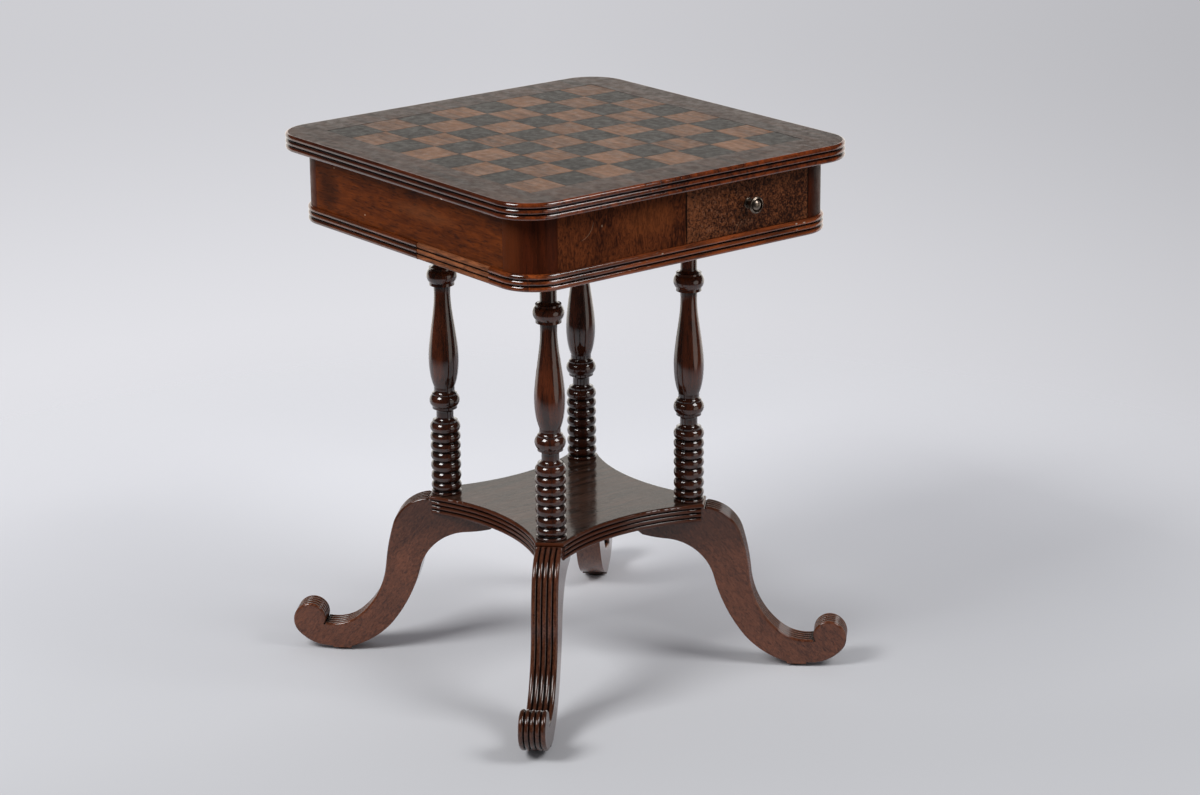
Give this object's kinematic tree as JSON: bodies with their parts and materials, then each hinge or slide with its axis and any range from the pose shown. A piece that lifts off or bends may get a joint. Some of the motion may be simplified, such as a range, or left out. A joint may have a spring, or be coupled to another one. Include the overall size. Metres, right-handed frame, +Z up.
{
  "type": "chess table",
  "caption": "Square chess table: inlaid board, frieze with drawers, turned columns, platform and scrolled sabre legs.",
  "frame": {"origin": "on the floor under the centre of the table", "axes": "+Z up; the front drawer opens towards -Y; +X to the right of someone who faces it"},
  "size_m": [0.5568, 0.5568, 0.725],
  "materials": {
    "top_wood": "french polished, worn to satin",
    "light_inlay": "french polished inlay",
    "dark_inlay": "ebonised inlay",
    "post_wood": "french polished",
    "ground_wood": "planed, unfinished",
    "side_veneer": "french polished figured veneer",
    "burl_veneer": "french polished burl veneer",
    "moulding_wood": "french polished",
    "repair_wood": "stained, less polished",
    "column_wood": "high-gloss french polish",
    "platform_wood": "french polished",
    "leg_wood": "french polished, worn",
    "drawer_wood": "planed, waxed",
    "glide": "pressed leather",
    "screw_steel": "dull steel",
    "knob_metal": "dark patinated, polished rim"
  },
  "bodies": {
    "table": {"board_dark_squares": "dark_inlay", "board_light_squares": "light_inlay", "bottom_board": "ground_wood", "centre_partition": "ground_wood", "column_front_left": "column_wood", "column_front_right": "column_wood", "column_rear_left": "column_wood", "column_rear_right": "column_wood", "corner_post_front_left": "post_wood", "corner_post_front_right": "post_wood", "corner_post_rear_left": "post_wood", "corner_post_rear_right": "post_wood", "drawer_guide_left": "ground_wood", "drawer_guide_right": "ground_wood", "drawer_stops": "ground_wood", "fixed_panel_front": "ground_wood", "fixed_panel_rear": "ground_wood", "fixed_veneer_front": "burl_veneer", "fixed_veneer_rear": "burl_veneer", "glide_front_left": "glide", "glide_front_right": "glide", "glide_rear_left": "glide", "glide_rear_right": "glide", "leg_front_left": "leg_wood", "leg_front_right": "leg_wood", "leg_rear_left": "leg_wood", "leg_rear_right": "leg_wood", "leg_screws": "screw_steel", "lower_moulding_front": "moulding_wood", "lower_moulding_left_front": "moulding_wood", "lower_moulding_left_rear": "moulding_wood", "lower_moulding_rear": "moulding_wood", "lower_moulding_right": "moulding_wood", "moulding_repair": "repair_wood", "platform": "platform_wood", "side_rail_left": "ground_wood", "side_rail_right": "ground_wood", "side_veneer_left": "side_veneer", "side_veneer_right": "side_veneer", "top_cleat_left": "ground_wood", "top_cleat_right": "ground_wood", "top_panel": "top_wood", "top_screws": "screw_steel"},
    "front_drawer": {"front_drawer_face": "ground_wood", "front_drawer_veneer": "burl_veneer", "front_drawer_side_left": "drawer_wood", "front_drawer_side_right": "drawer_wood", "front_drawer_back": "drawer_wood", "front_drawer_bottom": "drawer_wood", "front_drawer_knob": "knob_metal", "front_drawer_knob_nut": "knob_metal"},
    "rear_drawer": {"rear_drawer_face": "ground_wood", "rear_drawer_veneer": "burl_veneer", "rear_drawer_side_left": "drawer_wood", "rear_drawer_side_right": "drawer_wood", "rear_drawer_back": "drawer_wood", "rear_drawer_bottom": "drawer_wood", "rear_drawer_knob": "knob_metal", "rear_drawer_knob_nut": "knob_metal"}
  },
  "joints": [
    {"name": "front_drawer_slide", "type": "slide", "parent": "table", "child": "front_drawer", "axis": [0, -1, 0], "range_m": [0, 0.28]},
    {"name": "rear_drawer_slide", "type": "slide", "parent": "table", "child": "rear_drawer", "axis": [0, 1, 0], "range_m": [0, 0.28]}
  ]
}
